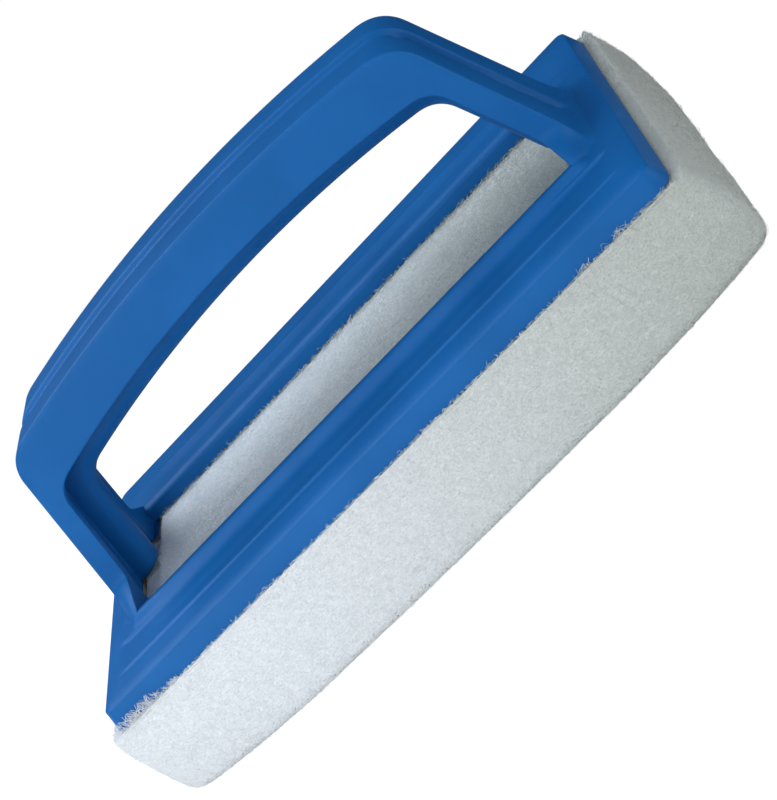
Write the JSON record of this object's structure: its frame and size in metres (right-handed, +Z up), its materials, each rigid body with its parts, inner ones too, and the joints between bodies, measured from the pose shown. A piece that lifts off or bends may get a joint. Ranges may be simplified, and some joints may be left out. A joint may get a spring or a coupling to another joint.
{
  "type": "pool waterline brush",
  "caption": "Hand scrubbing brush for a pool's waterline: a moulded blue frame with a bridge handle and a window, over a thick block of white non-woven fibre.",
  "frame": {"origin": "on the floor under the middle of the frame, in the plane of the pad's flat working face", "axes": "+Z up from the working face to the handle, +X along the brush and its handle, -Y the near side"},
  "size_m": [0.1812, 0.1014, 0.0837],
  "materials": {
    "frame_plastic": "satin",
    "pad_fibre": "matte",
    "adhesive": "satin"
  },
  "bodies": {
    "root": {"handle_frame": "frame_plastic", "scrub_pad": "pad_fibre", "near_glue_bead": "adhesive", "far_glue_bead": "adhesive", "left_glue_bead": "adhesive", "right_glue_bead": "adhesive"}
  },
  "joints": []
}
